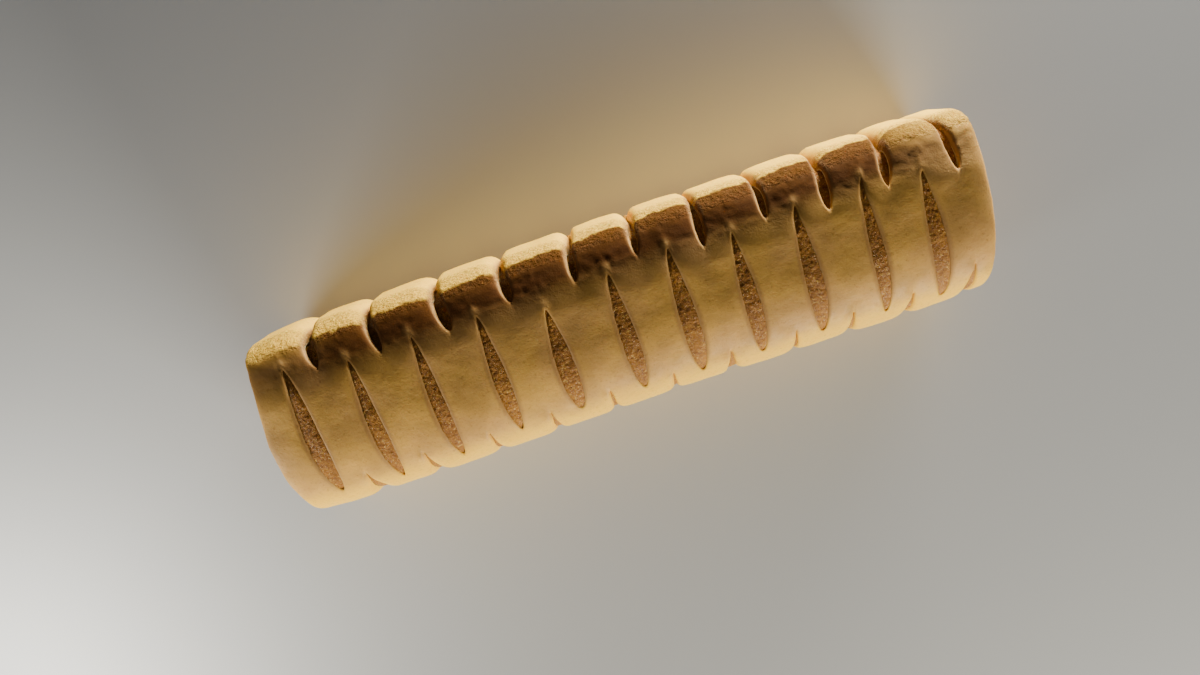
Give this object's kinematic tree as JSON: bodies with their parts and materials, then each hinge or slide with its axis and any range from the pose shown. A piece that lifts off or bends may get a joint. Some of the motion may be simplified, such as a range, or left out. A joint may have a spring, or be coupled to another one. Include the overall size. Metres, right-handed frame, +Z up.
{
  "type": "sausage roll",
  "caption": "Baked pastry roll round a sausage filling, open at both cut ends, with rows of slits across its top and sides; it rests on its flat base.",
  "frame": {"origin": "centre of the flat base that the roll rests on", "axes": "+X along the roll, +Y towards the side with the tighter shoulder, +Z up through the slit top"},
  "size_m": [0.1554, 0.0404, 0.033],
  "materials": {
    "pastry": "baked pastry, satin, pale gold with browner ridges",
    "filling": "cooked minced sausage meat, moist and grainy"
  },
  "bodies": {
    "root": {"pastry": "pastry", "filling": "filling"}
  },
  "joints": []
}
